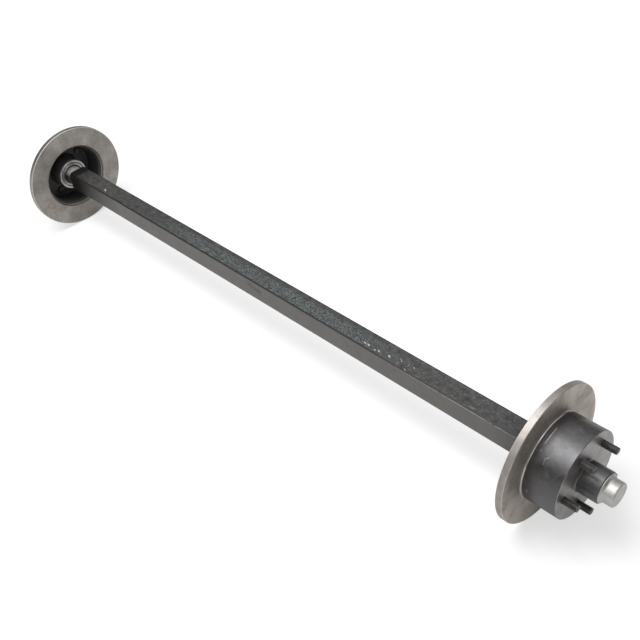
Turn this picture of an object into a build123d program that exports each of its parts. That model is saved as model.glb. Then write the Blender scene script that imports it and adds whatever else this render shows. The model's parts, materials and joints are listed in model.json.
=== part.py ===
from build123d import *
from math import atan, cos, degrees, radians, sin, sqrt, tan
import os

os.makedirs("parts", exist_ok=True)

# A trailer axle: a solid square bar with a spindle turned on each end, and on each spindle a cast
# disc hub that spins on two tapered roller bearings.
# The axle lies along X, its origin is the middle of the bar, and +Z is square to the bar's top face.
# Each end is drawn once, by its distance outboard from the origin, and is built right (+X) and left (-X).

# Bar
hub_face_span = 1524.0
beam_side = 44.45
beam_corner_radius = 4.0
bar_end_setback = 8.0
bar_end_turning = 3.0

# Disc hub, one casting
disc_diameter = 254.0
disc_thickness = 12.5
disc_edge_chamfer = 1.0
hat_height = 75.0
hat_wall = 6.5
hat_draft = 1.5
hat_base_fillet = 2.5
hat_edge_chamfer = 0.8
mouth_bevel = 4.8
mouth_flare = 4.2
mouth_neck_depth = 13.0
wheel_flange_thickness = 12.0
inside_fillet = 4.0
boss_diameter = 77.0
boss_setback = 18.5
boss_edge_chamfer = 1.0
boss_fillet = 5.0
barrel_diameter = 56.0
barrel_length = 36.5
barrel_base_fillet = 2.0
barrel_edge_chamfer = 1.2
barrel_mouth_chamfer = 0.6
cup_shoulder = 3.2
grease_chamber_neck = 6.0

# Wheel studs
stud_count = 5
stud_circle = 114.3
stud_phase = 42.4
stud_diameter = 12.7
stud_projection = 25.5
stud_tip_chamfer = 1.2
stud_head_diameter = 19.0
stud_head_thickness = 5.0
stud_head_chamfer = 0.8
stud_head_wall_gap = 4.35
stud_knurl_diameter = 13.5
spot_face_depth = 0.5
spot_face_gap = 0.3

# Tapered roller bearings: the larger one inboard, the smaller one outboard
inner_bore = 34.99
inner_outside = 59.13
inner_cup_width = 11.94
inner_cone_width = 16.76
inner_bearing_width = 15.87
inner_roller_diameter = 5.8
inner_roller_length = 10.4
inner_roller_count = 18
inner_tilt = 12.5
outer_bore = 21.99
outer_outside = 45.24
outer_cup_width = 12.06
outer_cone_width = 16.64
outer_bearing_width = 15.49
outer_roller_diameter = 5.6
outer_roller_length = 10.2
outer_roller_count = 14
outer_tilt = 13.0
outer_bearing_offset = 5.5
cone_rib_height = 1.6
cone_lip_height = 0.8
cone_rib_width = 3.0
ring_chamfer = 0.7
cage_thickness = 0.9
cage_height = 0.9
cage_margin = 1.3
cage_flange_drop = 0.5

# Grease seal
seal_bore = 62.0
seal_bore_depth = 9.0
seal_case_depth = 8.0
seal_sheet = 1.2
seal_flange_diameter = 74.8
seal_flange_thickness = 2.5
seal_flange_fillet = 1.0
seal_opening = 51.2
seal_journal_diameter = 42.0
seal_lip_wall = 2.2
seal_lip_length = 5.4
seal_lip_tip = 1.0
seal_web = 2.2
garter_wire = 1.4

# Spindle
spindle_shank_diameter = 25.0
spindle_shank_step = 2.0
spindle_thread_diameter = 19.05
spindle_thread_overhang = 1.5
spindle_end_chamfer = 1.2
spindle_flat_depth = 1.6
journal_overlap = 1.5

# Washer, castle nut and split pin
washer_diameter = 36.0
washer_thickness = 3.0
nut_across_flats = 28.6
nut_hex_height = 11.0
nut_crown_diameter = 25.4
nut_crown_height = 6.5
nut_edge = 0.97
nut_slot_width = 4.8
nut_slots_across = 3
pin_diameter = 3.6
pin_hole_diameter = 4.2
pin_seat = 3.0
pin_eye_radius = 2.0
pin_eye_wire = 1.8
pin_bend_radius = 3.2
pin_bend_angle = 80.0
pin_tail = 3.5
pin_margin = 0.3

# Dust cap
cap_diameter = 43.0
cap_projection = 22.0
cap_wall = 1.2
cap_spigot_length = 9.0
cap_collar_diameter = 53.0
cap_collar_thickness = 1.6
cap_collar_fillet = 2.2
cap_corner_radius = 3.4

# Fits, each a gap on the radius
press_gap = 0.01
slip_gap = 0.02
running_gap = 0.05
pocket_gap = 0.12
thread_gap = 0.05

# The hat is as wide as the stud circle, the studs' heads and its own wall need
hat_floor_diameter = stud_circle + stud_head_diameter + 2 * stud_head_wall_gap
hat_inside_diameter = hat_floor_diameter + 2 * hat_draft
hat_diameter = hat_inside_diameter + 2 * hat_wall
mouth_diameter = hat_inside_diameter + 2 * (mouth_flare + mouth_bevel)

# Places along the axle, outboard from the origin
wheel_face = hub_face_span / 2
disc_back = wheel_face - hat_height
disc_front = disc_back + disc_thickness
hat_floor = wheel_face - wheel_flange_thickness
head_seat = hat_floor + spot_face_depth
boss_end = disc_back + boss_setback
barrel_end = wheel_face + barrel_length
bar_end = disc_back - bar_end_setback
inner_cup_front = boss_end + seal_bore_depth
inner_shoulder = inner_cup_front + inner_cup_width
outer_shoulder = wheel_face + outer_bearing_offset
inner_cone_back = inner_shoulder - inner_bearing_width
outer_cone_back = outer_shoulder + outer_bearing_width
nut_seat = outer_cone_back + washer_thickness
crown_base = nut_seat + nut_hex_height
crown_end = crown_base + nut_crown_height
spindle_end = crown_end + spindle_thread_overhang
pin_place = crown_base + pin_seat
cap_end = barrel_end + cap_projection

sides = {"right": 1, "left": -1}


def profile_plane(side):
    # The plane through the axle's axis: x runs outboard and y is the radius
    return Plane(origin=(0, 0, 0), x_dir=(side, 0, 0), z_dir=(0, -side, 0))


def cross_plane(side, place, facing=1):
    # The plane square to the axle at a place, facing outboard (1) or inboard (-1)
    return Plane(origin=(side * place, 0, 0), x_dir=(0, 1, 0), z_dir=(side * facing, 0, 0))


def outboard(side):
    return Axis((0, 0, 0), (side, 0, 0))


def corner(sketch, place, radius):
    # The profile's corner at a place along the axle and a radius
    return sketch.vertices().sort_by_distance((place, radius, 0))[0]


def save(piece, label):
    piece.part.label = label
    export_step(piece.part, f"parts/{label}.step")


class Bearing:
    # A tapered roller bearing on a hub shoulder. Distances along it start at the cup's back face,
    # which seats on the shoulder, and grow towards the open side, where the rollers are thicker.
    # All its rolling faces meet at one apex on the axle's axis.
    def __init__(self, name, shoulder, facing, bore, outside, cup_width, cone_width, width,
                 roller_diameter, roller_length, roller_count, tilt):
        self.name = name
        self.shoulder = shoulder
        self.facing = facing
        self.bore_radius = bore / 2
        self.outside_radius = outside / 2
        self.cup_width = cup_width
        self.cone_width = cone_width
        self.width = width
        self.roller_length = roller_length
        self.roller_count = roller_count
        self.tilt = radians(tilt)
        self.pitch_radius = (self.bore_radius + self.outside_radius) / 2
        self.apex_to_middle = self.pitch_radius / sin(self.tilt)
        self.taper = atan(roller_diameter / 2 / self.apex_to_middle)
        self.middle = width - cone_rib_width - roller_length / 2 * cos(self.tilt)
        self.apex = self.middle - self.pitch_radius / tan(self.tilt)
        self.small_end = self.apex_to_middle - roller_length / 2
        self.large_end = self.apex_to_middle + roller_length / 2

    def at(self, along, radius):
        return (self.shoulder + self.facing * along, radius)

    def from_apex(self, distance, offset):
        # A point at a distance from the apex along the roller's axis and an offset outward from it
        along = self.apex + distance * cos(self.tilt) - offset * sin(self.tilt)
        radius = distance * sin(self.tilt) + offset * cos(self.tilt)
        return along, radius

    def roller_radius(self, distance):
        return distance * tan(self.taper)

    def cup_race(self, along):
        angle = self.tilt + self.taper
        return (along - self.apex) * tan(angle) + running_gap / cos(angle)


inner_bearing = Bearing(
    "inner_bearing", inner_shoulder, -1, inner_bore, inner_outside, inner_cup_width, inner_cone_width,
    inner_bearing_width, inner_roller_diameter, inner_roller_length, inner_roller_count, inner_tilt)
outer_bearing = Bearing(
    "outer_bearing", outer_shoulder, 1, outer_bore, outer_outside, outer_cup_width, outer_cone_width,
    outer_bearing_width, outer_roller_diameter, outer_roller_length, outer_roller_count, outer_tilt)


def make_axle_beam():
    journal_radius = seal_journal_diameter / 2
    inner_radius = inner_bearing.bore_radius - slip_gap
    outer_radius = outer_bearing.bore_radius - slip_gap
    shank_radius = spindle_shank_diameter / 2
    thread_radius = spindle_thread_diameter / 2
    flat_height = thread_radius - spindle_flat_depth
    inner_journal_end = inner_cone_back + inner_cone_width + journal_overlap
    outer_journal_start = outer_cone_back - outer_cone_width - journal_overlap
    corner_reach = (beam_side / 2 - beam_corner_radius) * sqrt(2) + beam_corner_radius
    spindle = [
        (bar_end, 0), (bar_end, journal_radius), (inner_cone_back, journal_radius),
        (inner_cone_back, inner_radius), (inner_journal_end, inner_radius),
        (inner_journal_end + spindle_shank_step, inner_radius - spindle_shank_step / 2),
        (outer_journal_start - spindle_shank_step, shank_radius),
        (outer_journal_start, outer_radius), (outer_cone_back, outer_radius),
        (outer_cone_back, thread_radius), (spindle_end - spindle_end_chamfer, thread_radius),
        (spindle_end, thread_radius - spindle_end_chamfer), (spindle_end, 0)]
    turned_ends = [
        (-bar_end, 0), (-bar_end, corner_reach - bar_end_turning),
        (bar_end_turning - bar_end, corner_reach), (bar_end - bar_end_turning, corner_reach),
        (bar_end, corner_reach - bar_end_turning), (bar_end, 0)]
    with BuildPart() as beam:
        with BuildSketch(Plane.YZ.offset(-bar_end)):
            RectangleRounded(beam_side, beam_side, beam_corner_radius)
        extrude(amount=2 * bar_end)
        with BuildSketch(profile_plane(1)):
            with BuildLine():
                Polyline(*turned_ends, close=True)
            make_face()
        revolve(axis=Axis.X, mode=Mode.INTERSECT)
        for side in sides.values():
            with BuildSketch(profile_plane(side)):
                with BuildLine():
                    Polyline(*spindle, close=True)
                make_face()
            revolve(axis=Axis.X)
            # The washer's flat runs the length of the thread
            with Locations((side * (outer_cone_back + spindle_end) / 2, 0, flat_height)):
                Box(spindle_end - outer_cone_back, spindle_thread_diameter, spindle_thread_diameter,
                    align=(Align.CENTER, Align.CENTER, Align.MIN), mode=Mode.SUBTRACT)
            # The split pin's hole goes right through, along Y
            with Locations(Plane(origin=(side * pin_place, 0, 0), z_dir=(0, 1, 0))):
                Cylinder(pin_hole_diameter / 2, spindle_thread_diameter * 2, mode=Mode.SUBTRACT)
    save(beam, "axle_beam")


def make_disc_hub(side, name):
    disc_radius = disc_diameter / 2
    hat_radius = hat_diameter / 2
    hat_inside = hat_inside_diameter / 2
    floor_radius = hat_floor_diameter / 2
    boss_radius = boss_diameter / 2
    barrel_radius = barrel_diameter / 2
    mouth_radius = mouth_diameter / 2
    seal_radius = seal_bore / 2
    inner_seat = inner_bearing.outside_radius + press_gap
    outer_seat = outer_bearing.outside_radius + press_gap
    outline = [
        (boss_end, seal_radius), (boss_end, boss_radius), (hat_floor, boss_radius),
        (hat_floor, floor_radius), (disc_back + mouth_neck_depth, hat_inside),
        (disc_back + mouth_bevel, mouth_radius - mouth_bevel), (disc_back, mouth_radius),
        (disc_back, disc_radius), (disc_front, disc_radius), (disc_front, hat_radius),
        (wheel_face, hat_radius), (wheel_face, barrel_radius), (barrel_end, barrel_radius),
        (barrel_end, outer_seat), (outer_shoulder, outer_seat),
        (outer_shoulder, outer_seat - cup_shoulder),
        (outer_shoulder - grease_chamber_neck, outer_seat - cup_shoulder),
        (inner_shoulder + grease_chamber_neck, inner_seat - cup_shoulder),
        (inner_shoulder, inner_seat - cup_shoulder), (inner_shoulder, inner_seat),
        (inner_cup_front, inner_seat), (inner_cup_front, seal_radius)]
    with BuildPart() as hub:
        with BuildSketch(profile_plane(side)) as section:
            with BuildLine():
                Polyline(*outline, close=True)
            make_face()
            fillet(corner(section, hat_floor, boss_radius), boss_fillet)
            fillet(corner(section, hat_floor, floor_radius), inside_fillet)
            fillet(corner(section, disc_front, hat_radius), hat_base_fillet)
            fillet(corner(section, wheel_face, barrel_radius), barrel_base_fillet)
            chamfer(corner(section, boss_end, boss_radius), boss_edge_chamfer)
            chamfer(corner(section, disc_back, disc_radius), disc_edge_chamfer)
            chamfer(corner(section, disc_front, disc_radius), disc_edge_chamfer)
            chamfer(corner(section, wheel_face, hat_radius), hat_edge_chamfer)
            chamfer(corner(section, barrel_end, barrel_radius), barrel_edge_chamfer)
            chamfer(corner(section, barrel_end, outer_seat), barrel_mouth_chamfer)
        revolve(axis=Axis.X)
        with Locations(cross_plane(side, wheel_face)):
            with PolarLocations(stud_circle / 2, stud_count, start_angle=stud_phase):
                Hole(stud_knurl_diameter / 2 + press_gap, depth=wheel_flange_thickness)
        with Locations(cross_plane(side, head_seat)):
            with PolarLocations(stud_circle / 2, stud_count, start_angle=stud_phase):
                Cylinder(stud_head_diameter / 2 + spot_face_gap, spot_face_depth + stud_head_thickness,
                         align=(Align.CENTER, Align.CENTER, Align.MAX), mode=Mode.SUBTRACT)
    save(hub, f"{name}_disc_hub")


def make_wheel_stud(side, name, number):
    place = stud_phase + 360 / stud_count * (number - 1)
    centre = Vector(stud_circle / 2, 0).rotate(Axis.Z, place)
    with BuildPart() as stud:
        with BuildSketch(cross_plane(side, head_seat)):
            with Locations(centre):
                Circle(stud_head_diameter / 2)
        extrude(amount=-stud_head_thickness)
        chamfer(stud.edges().sort_by(outboard(side))[0], stud_head_chamfer)
        with BuildSketch(cross_plane(side, head_seat)):
            with Locations(centre):
                Circle(stud_knurl_diameter / 2)
        extrude(amount=wheel_face - head_seat)
        with BuildSketch(cross_plane(side, wheel_face)):
            with Locations(centre):
                Circle(stud_diameter / 2)
        extrude(amount=stud_projection)
        chamfer(stud.edges().sort_by(outboard(side))[-1], stud_tip_chamfer)
    save(stud, f"{name}_wheel_stud_{number}")


def make_cup(side, name, bearing):
    back = bearing.at(0, bearing.outside_radius)
    front = bearing.at(bearing.cup_width, bearing.outside_radius)
    outline = [
        bearing.at(0, bearing.cup_race(0)), back, front,
        bearing.at(bearing.cup_width, bearing.cup_race(bearing.cup_width))]
    with BuildPart() as cup:
        with BuildSketch(profile_plane(side)) as section:
            with BuildLine():
                Polyline(*outline, close=True)
            make_face()
            chamfer(corner(section, *back), ring_chamfer)
            chamfer(corner(section, *front), ring_chamfer)
        revolve(axis=Axis.X)
    save(cup, f"{name}_{bearing.name}_cup")


def make_cone(side, name, bearing):
    # The race runs between a low lip and the rib that guides the rollers' thick ends
    start = bearing.small_end - running_gap
    end = bearing.large_end + running_gap
    race_start = bearing.from_apex(start, -bearing.roller_radius(start) - running_gap)
    lip = bearing.from_apex(start, cone_lip_height - bearing.roller_radius(start))
    race_end = bearing.from_apex(end, -bearing.roller_radius(end) - running_gap)
    rib = bearing.from_apex(end, cone_rib_height - bearing.roller_radius(end))
    front = bearing.width - bearing.cone_width
    back_bore = bearing.at(bearing.width, bearing.bore_radius)
    front_bore = bearing.at(front, bearing.bore_radius)
    outline = [
        front_bore, bearing.at(front, lip[1]), bearing.at(*lip), bearing.at(*race_start),
        bearing.at(*race_end), bearing.at(*rib), bearing.at(bearing.width, rib[1]), back_bore]
    with BuildPart() as cone:
        with BuildSketch(profile_plane(side)) as section:
            with BuildLine():
                Polyline(*outline, close=True)
            make_face()
            chamfer(corner(section, *back_bore), ring_chamfer)
        revolve(axis=Axis.X)
    save(cone, f"{name}_{bearing.name}_cone")


def roller_middle(side, bearing):
    # The plane of the rollers' middles, its normal towards their thick ends
    place = bearing.shoulder + bearing.facing * bearing.middle
    return cross_plane(side, place, bearing.facing)


def make_rollers(side, name, bearing):
    thin = bearing.roller_radius(bearing.small_end)
    thick = bearing.roller_radius(bearing.large_end)
    with BuildPart(roller_middle(side, bearing)) as rollers:
        with PolarLocations(bearing.pitch_radius, bearing.roller_count):
            with Locations(Location((0, 0, 0), (0, degrees(bearing.tilt), 0))):
                Cone(thin, thick, bearing.roller_length)
    save(rollers, f"{name}_{bearing.name}_rollers")


def make_cage(side, name, bearing):
    # A pressed cone of sheet outside the rollers' middles, with a flange turned in at its thin end
    # and a window for each roller
    start = bearing.small_end - running_gap - pocket_gap
    flange = start - cage_thickness
    end = bearing.large_end + cage_margin
    inside = cage_height
    outside = cage_height + cage_thickness
    outline = [
        bearing.from_apex(flange, -cage_flange_drop), bearing.from_apex(flange, outside),
        bearing.from_apex(end, outside), bearing.from_apex(end, inside),
        bearing.from_apex(start, inside), bearing.from_apex(start, -cage_flange_drop)]
    thin = bearing.roller_radius(bearing.small_end) + pocket_gap
    thick = bearing.roller_radius(bearing.large_end) + pocket_gap
    with BuildPart(roller_middle(side, bearing)) as cage:
        with BuildSketch(profile_plane(side)):
            with BuildLine():
                Polyline(*[bearing.at(*point) for point in outline], close=True)
            make_face()
        revolve(axis=Axis.X)
        with PolarLocations(bearing.pitch_radius, bearing.roller_count):
            with Locations(Location((0, 0, 0), (0, degrees(bearing.tilt), 0))):
                Cone(thin, thick, bearing.roller_length + 2 * pocket_gap, mode=Mode.SUBTRACT)
    save(cage, f"{name}_{bearing.name}_cage")


def make_seal(side, name):
    # A pressed case with a flange over the boss, a moulded lip in it and a garter spring on the lip
    case_radius = seal_bore / 2 - press_gap
    case_inside = case_radius - seal_sheet
    opening = seal_opening / 2
    face = boss_end - seal_flange_thickness
    web = face + seal_sheet
    flange_radius = seal_flange_diameter / 2
    case_outline = [
        (face, opening), (face, flange_radius), (boss_end, flange_radius), (boss_end, case_radius),
        (boss_end + seal_case_depth, case_radius), (boss_end + seal_case_depth, case_inside),
        (web, case_inside), (web, opening)]
    with BuildPart() as case:
        with BuildSketch(profile_plane(side)) as section:
            with BuildLine():
                Polyline(*case_outline, close=True)
            make_face()
            fillet(corner(section, face, flange_radius), seal_flange_fillet)
        revolve(axis=Axis.X)
    save(case, f"{name}_seal_case")

    touch = seal_journal_diameter / 2 + running_gap
    sleeve = touch + seal_lip_wall
    tip = web + seal_lip_length - seal_lip_tip
    lip_outline = [
        (web, case_inside), (web, touch), (web + seal_lip_tip, touch),
        (web + seal_web, touch + seal_lip_tip), (tip - seal_lip_tip, touch + seal_lip_tip), (tip, touch),
        (tip + seal_lip_tip, touch + seal_lip_tip), (tip + seal_lip_tip, sleeve),
        (web + seal_web, sleeve), (web + seal_web, case_inside)]
    with BuildPart() as lip:
        with BuildSketch(profile_plane(side)):
            with BuildLine():
                Polyline(*lip_outline, close=True)
            make_face()
        revolve(axis=Axis.X)
    save(lip, f"{name}_seal_lip")

    with BuildPart() as spring:
        with Locations(cross_plane(side, tip)):
            Torus(sleeve + slip_gap + garter_wire / 2, garter_wire / 2)
    save(spring, f"{name}_seal_garter_spring")


def make_washer(side, name):
    # The flat in its hole keeps the washer from turning on the spindle
    hole_radius = spindle_thread_diameter / 2 + thread_gap
    flat = spindle_thread_diameter / 2 - spindle_flat_depth + thread_gap
    half_flat = sqrt(hole_radius**2 - flat**2)
    with BuildPart() as washer:
        with BuildSketch(cross_plane(side, outer_cone_back)):
            Circle(washer_diameter / 2)
            with BuildLine():
                Line((-half_flat, side * flat), (half_flat, side * flat))
                ThreePointArc((half_flat, side * flat), (0, -side * hole_radius), (-half_flat, side * flat))
            make_face(mode=Mode.SUBTRACT)
        extrude(amount=washer_thickness)
    save(washer, f"{name}_spindle_washer")


def make_castle_nut(side, name):
    flats = nut_across_flats / 2
    corners = flats / cos(radians(30))
    edge_drop = (corners - flats * nut_edge) * tan(radians(30))
    crown_radius = nut_crown_diameter / 2
    turned_hex = [
        (nut_seat, 0), (nut_seat, flats * nut_edge), (nut_seat + edge_drop, corners),
        (crown_base - edge_drop, corners), (crown_base, flats * nut_edge), (crown_base, 0)]
    with BuildPart() as nut:
        with BuildSketch(cross_plane(side, nut_seat)):
            RegularPolygon(flats, 6, major_radius=False, rotation=30)
        extrude(amount=nut_hex_height)
        with BuildSketch(profile_plane(side)):
            with BuildLine():
                Polyline(*turned_hex, close=True)
            make_face()
        revolve(axis=Axis.X, mode=Mode.INTERSECT)
        with BuildSketch(cross_plane(side, crown_base)):
            Circle(crown_radius)
        extrude(amount=nut_crown_height)
        with Locations(cross_plane(side, crown_end)):
            Hole(spindle_thread_diameter / 2 + thread_gap, depth=nut_hex_height + nut_crown_height)
            with PolarLocations(0, nut_slots_across, angular_range=180):
                Box(nut_crown_diameter, nut_slot_width, nut_crown_height,
                    align=(Align.CENTER, Align.CENTER, Align.MAX), mode=Mode.SUBTRACT)
    save(nut, f"{name}_castle_nut")


def make_split_pin(side, name):
    # The eye and the closed legs lie in the plane of X and Y; past the nut the legs part and bend
    radius = pin_diameter / 2
    exit_place = nut_crown_diameter / 2 + pin_margin
    eye_place = exit_place + pin_eye_radius + pin_eye_wire / 2
    with BuildPart() as pin:
        with BuildSketch(Plane(origin=(side * pin_place, exit_place, 0), x_dir=(1, 0, 0), z_dir=(0, -1, 0))):
            Circle(radius)
        extrude(amount=exit_place + eye_place - pin_eye_radius)
        with Locations((side * pin_place, -eye_place, 0)):
            Torus(pin_eye_radius, pin_eye_wire / 2)
        for way in (1, -1):
            leg = Plane(origin=(side * pin_place, exit_place, 0), x_dir=(way, 0, 0), z_dir=(0, 1, 0))
            bend = Axis((side * pin_place + way * pin_bend_radius, exit_place, 0), (0, 0, -way))
            with BuildSketch(leg):
                with BuildLine():
                    Line((0, -radius), (0, radius))
                    ThreePointArc((0, radius), (radius, 0), (0, -radius))
                make_face()
            revolve(axis=bend, revolution_arc=pin_bend_angle)
            tail = pin.faces().filter_by(GeomType.PLANE).sort_by(Axis((0, 0, 0), (way, 0, 0)))[-1]
            extrude(tail, amount=pin_tail)
    save(pin, f"{name}_split_pin")


def make_dust_cap(side, name):
    spigot_radius = outer_bearing.outside_radius
    spigot_start = barrel_end - cap_spigot_length
    collar_end = barrel_end + cap_collar_thickness
    outside = cap_diameter / 2
    inside = outside - cap_wall
    outline = [
        (spigot_start, spigot_radius - cap_wall), (spigot_start, spigot_radius),
        (barrel_end, spigot_radius), (barrel_end, cap_collar_diameter / 2),
        (collar_end, cap_collar_diameter / 2), (collar_end, outside), (cap_end, outside),
        (cap_end, 0), (cap_end - cap_wall, 0), (cap_end - cap_wall, inside), (barrel_end, inside),
        (barrel_end - cap_wall, spigot_radius - cap_wall)]
    with BuildPart() as cap:
        with BuildSketch(profile_plane(side)) as section:
            with BuildLine():
                Polyline(*outline, close=True)
            make_face()
            fillet(corner(section, collar_end, outside), cap_collar_fillet)
            fillet(corner(section, cap_end, outside), cap_corner_radius)
            fillet(corner(section, cap_end - cap_wall, inside), cap_corner_radius - cap_wall)
            fillet(corner(section, collar_end, cap_collar_diameter / 2), cap_collar_thickness / 3)
        revolve(axis=Axis.X)
    save(cap, f"{name}_dust_cap")


make_axle_beam()
for end_name, end_side in sides.items():
    make_disc_hub(end_side, end_name)
    for stud_number in range(1, stud_count + 1):
        make_wheel_stud(end_side, end_name, stud_number)
    for end_bearing in (inner_bearing, outer_bearing):
        make_cup(end_side, end_name, end_bearing)
        make_cone(end_side, end_name, end_bearing)
        make_rollers(end_side, end_name, end_bearing)
        make_cage(end_side, end_name, end_bearing)
    make_seal(end_side, end_name)
    make_washer(end_side, end_name)
    make_castle_nut(end_side, end_name)
    make_split_pin(end_side, end_name)
    make_dust_cap(end_side, end_name)
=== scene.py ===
import json
import math

import bpy
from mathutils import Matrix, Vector


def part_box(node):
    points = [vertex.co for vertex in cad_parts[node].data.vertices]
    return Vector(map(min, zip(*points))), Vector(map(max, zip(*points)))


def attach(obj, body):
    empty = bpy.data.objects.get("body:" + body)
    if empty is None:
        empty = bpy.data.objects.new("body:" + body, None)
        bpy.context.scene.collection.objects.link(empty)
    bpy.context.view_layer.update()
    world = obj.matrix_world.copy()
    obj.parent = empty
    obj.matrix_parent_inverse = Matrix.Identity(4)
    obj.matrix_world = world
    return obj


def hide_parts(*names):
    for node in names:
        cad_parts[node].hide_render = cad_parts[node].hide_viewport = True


# A trailer axle: finishes for the CAD pieces, the studs, caps and seal cases in detail, and the stage.
# Lengths are in metres, X runs along the axle, and the right hub is the near one.

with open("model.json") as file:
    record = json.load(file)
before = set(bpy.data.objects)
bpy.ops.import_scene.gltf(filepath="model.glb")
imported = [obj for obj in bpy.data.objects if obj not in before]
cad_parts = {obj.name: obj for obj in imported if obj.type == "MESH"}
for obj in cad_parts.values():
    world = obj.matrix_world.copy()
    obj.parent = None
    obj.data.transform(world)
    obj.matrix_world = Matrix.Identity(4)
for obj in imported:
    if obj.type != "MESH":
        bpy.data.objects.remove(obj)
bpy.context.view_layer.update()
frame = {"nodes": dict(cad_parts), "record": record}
nodes = frame["nodes"]
print("frame loaded,", len(nodes), "nodes")


# Small helpers for node trees

nodeLayout = {"across": 220, "down": 260, "inRow": 12}


def put(tree, kind, inputs=None, **settings):
    # adds a node, sets its options, and fills its sockets with values or links
    node = tree.nodes.new(kind)
    row, column = divmod(len(tree.nodes), nodeLayout["inRow"])
    node.location = (nodeLayout["across"] * column, -nodeLayout["down"] * row)
    for name, value in settings.items():
        setattr(node, name, value)
    for socket, value in (inputs or {}).items():
        if isinstance(value, bpy.types.NodeSocket):
            tree.links.new(value, node.inputs[socket])
        else:
            node.inputs[socket].default_value = value
    return node


def calc(tree, operation, a, b=0.0, clamp=False):
    return put(tree, "ShaderNodeMath", {0: a, 1: b}, operation=operation, use_clamp=clamp).outputs[0]


def calcAll(tree, operation, values):
    # the same operation over several values, one after the other
    result = values[0]
    for value in values[1:]:
        result = calc(tree, operation, result, value)
    return result


def total(tree, *values):
    return calcAll(tree, "ADD", values)


def times(tree, *masks):
    return calcAll(tree, "MULTIPLY", masks)


def strongest(tree, *masks):
    return calcAll(tree, "MAXIMUM", masks)


def above(tree, value, limit):
    return calc(tree, "GREATER_THAN", value, limit)


def below(tree, value, limit):
    return calc(tree, "LESS_THAN", value, limit)


def vectorCalc(tree, operation, a, b=(0, 0, 0), output="Vector"):
    return put(tree, "ShaderNodeVectorMath", {0: a, 1: b}, operation=operation).outputs[output]


def mixColor(tree, share, a, b):
    # a Mix node takes its two colours in sockets 6 and 7
    return put(tree, "ShaderNodeMix", {0: share, 6: a, 7: b}, data_type="RGBA").outputs[2]


def mixValue(tree, share, a, b):
    # and its two numbers in sockets 2 and 3
    return put(tree, "ShaderNodeMix", {0: share, 2: a, 3: b}, data_type="FLOAT").outputs[0]


def spread(tree, value, fromLow, fromHigh, toLow=0.0, toHigh=1.0):
    # stretches a value to a new range and clamps it
    names = ("Value", "From Min", "From Max", "To Min", "To Max")
    sockets = dict(zip(names, (value, fromLow, fromHigh, toLow, toHigh)))
    return put(tree, "ShaderNodeMapRange", sockets, clamp=True).outputs[0]


def noise(tree, vector, scale, detail=3.0, roughness=0.55):
    sockets = {"Vector": vector, "Scale": scale, "Detail": detail, "Roughness": roughness}
    return put(tree, "ShaderNodeTexNoise", sockets).outputs["Fac"]


def objectPoint(tree):
    return put(tree, "ShaderNodeTexCoord").outputs["Object"]


def split(tree, vector):
    return put(tree, "ShaderNodeSeparateXYZ", {0: vector}).outputs


def newGroup(name, inputs, outputs):
    # a shader node group with its sockets, given back with its input and output nodes
    tree = bpy.data.node_groups.new(name, "ShaderNodeTree")
    for socket, value in inputs.items():
        kind = "NodeSocketVector" if isinstance(value, tuple) else "NodeSocketFloat"
        made = tree.interface.new_socket(socket, in_out="INPUT", socket_type=kind)
        made.default_value = value
    for socket in outputs:
        tree.interface.new_socket(socket, in_out="OUTPUT", socket_type="NodeSocketFloat")
    return tree, put(tree, "NodeGroupInput").outputs, put(tree, "NodeGroupOutput").inputs


def useGroup(tree, group, **inputs):
    sockets = {name[0].upper() + name[1:]: value for name, value in inputs.items()}
    return put(tree, "ShaderNodeGroup", sockets, node_tree=shared[group]).outputs


# Effects that several finishes share

effectValues = {
    "broadRings": 0.12,            # the broad rings' scale, as a share of the fine rings'
    "sectorDrift": 5.0,            # how much the sectors change from the middle to the rim
    "sectorLimits": (0.3, 0.7),
    "edgeTurn": (0.01, 0.12),      # how far an edge turns, from no wear to full wear
    "edgeBreaks": (0.42, 0.6),
    "patchLimits": (0.35, 0.65),
    "speckEdge": 0.08,
    "raggedScale": 700.0,          # the noise along a scratch's sides
    "raggedLimits": (0.35, 0.6),
    "raggedWidths": (0.2, 1.5),    # a scratch's narrowest and widest place, as shares of its width
    "scratchHardness": 2.0,
}
shared = {}


def makeAxlePlace():
    # where a point is on the axle: its distance from the middle and from the axis
    tree, _, out = newGroup("axlePlace", {}, ["Reach", "Radius"])
    x, y, z = split(tree, objectPoint(tree))
    flat = put(tree, "ShaderNodeCombineXYZ", {1: y, 2: z}).outputs[0]
    tree.links.new(calc(tree, "ABSOLUTE", x), out["Reach"])
    tree.links.new(vectorCalc(tree, "LENGTH", flat, output="Value"), out["Radius"])
    return tree


def makeBandMask():
    # 1 where the value lies between two limits, with soft ends
    inputs = {"Value": 0.0, "Low": 0.0, "High": 1.0, "Soft": 0.0003}
    tree, given, out = newGroup("bandMask", inputs, ["Mask"])
    fromLow = calc(tree, "SUBTRACT", given["Value"], given["Low"])
    fromHigh = calc(tree, "SUBTRACT", given["High"], given["Value"])
    lowEnd = calc(tree, "DIVIDE", fromLow, given["Soft"])
    highEnd = calc(tree, "DIVIDE", fromHigh, given["Soft"])
    nearest = calc(tree, "MINIMUM", lowEnd, highEnd)
    tree.links.new(calc(tree, "ADD", nearest, 0.5, clamp=True), out["Mask"])
    return tree


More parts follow.
